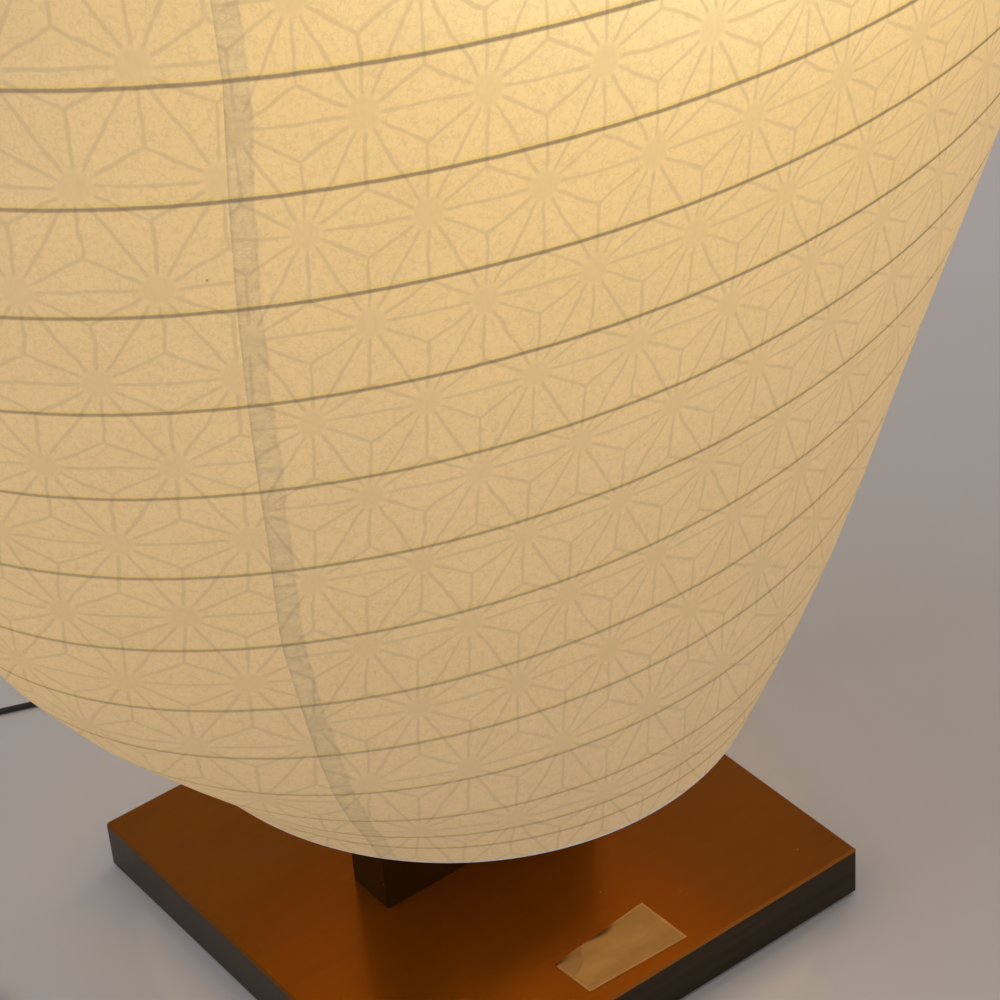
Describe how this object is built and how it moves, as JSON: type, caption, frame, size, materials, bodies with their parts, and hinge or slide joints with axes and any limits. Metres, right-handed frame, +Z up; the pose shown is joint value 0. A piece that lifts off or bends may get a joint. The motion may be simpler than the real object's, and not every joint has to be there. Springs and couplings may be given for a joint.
{
  "type": "andon floor lamp",
  "caption": "Free-standing paper lantern lamp: an oval washi shade on bamboo hoops hangs from a harp over a lacquered slab post and square board, with a corded inline switch.",
  "frame": {"origin": "on the floor under the middle of the base board", "axes": "+Z up; X along the slab post and the long axis of the oval shade; -Y is the front and +Y is where the cord leaves"},
  "size_m": [0.5036, 0.4414, 0.76],
  "materials": {
    "lacquer": "gloss lacquer, very dark brown",
    "felt": "dense felt",
    "steel": "zinc plated",
    "white_steel": "satin off-white enamel",
    "brass": "turned, lightly lacquered",
    "bakelite": "moulded, satin",
    "bulb_metal": "bare",
    "bulb_plastic": "opal, satin",
    "washi": "fibrous printed washi paper, translucent",
    "bamboo": "split bamboo, bare",
    "cord": "smooth vinyl jacket",
    "black_rubber": "moulded, matte",
    "black_plastic": "moulded, semi-gloss",
    "plated_brass": "bright plated"
  },
  "bodies": {
    "base": {"base_board": "lacquer", "post_slab": "lacquer", "foot_pad_front_left": "felt", "foot_pad_front_right": "felt", "foot_pad_back_left": "felt", "foot_pad_back_right": "felt", "post_screws": "steel", "plate_screws": "steel", "holder_plate": "steel", "threaded_nipple": "steel", "harp_bow": "white_steel", "harp_stud": "brass", "lampholder_body": "bakelite", "lampholder_shell": "brass", "centre_contact": "brass", "inner_lead": "cord", "cord_sleeve": "black_rubber", "cord_to_switch": "cord", "cord_to_coil": "cord", "cord_to_plug": "cord", "cord_coil": "cord", "cord_tie": "black_rubber", "switch_base": "black_plastic", "switch_cover": "black_plastic", "plug_body": "black_plastic", "plug_blades": "plated_brass"},
    "shade": {"paper_gore_1": "washi", "paper_gore_2": "washi", "paper_gore_3": "washi", "shade_ribs": "bamboo", "mouth_ring": "bamboo", "top_ring": "white_steel"},
    "finial": {"finial": "brass"},
    "bulb": {"bulb_contact": "bulb_metal", "bulb_insulator": "bakelite", "bulb_screw_cap": "bulb_metal", "bulb_housing": "bulb_plastic", "bulb_globe": "bulb_plastic"},
    "rocker": {"switch_rocker": "black_plastic"}
  },
  "joints": [
    {"name": "shade_lift", "type": "slide", "parent": "base", "child": "shade", "axis": [0, 0, 1], "range_m": [0, 0.65]},
    {"name": "finial_turn", "type": "hinge", "parent": "shade", "child": "finial", "pos_m": [0, 0, 0.75], "axis": [0, 0, 1], "continuous": true},
    {"name": "bulb_turn", "type": "hinge", "parent": "base", "child": "bulb", "pos_m": [0, 0, 0.35], "axis": [0, 0, 1], "continuous": true},
    {"name": "rocker_tip", "type": "hinge", "parent": "base", "child": "rocker", "pos_m": [-0.17799, 0.18012, 0.013], "axis": [-0.9613, 0.2756, 0], "range_deg": [-16, 0]}
  ]
}
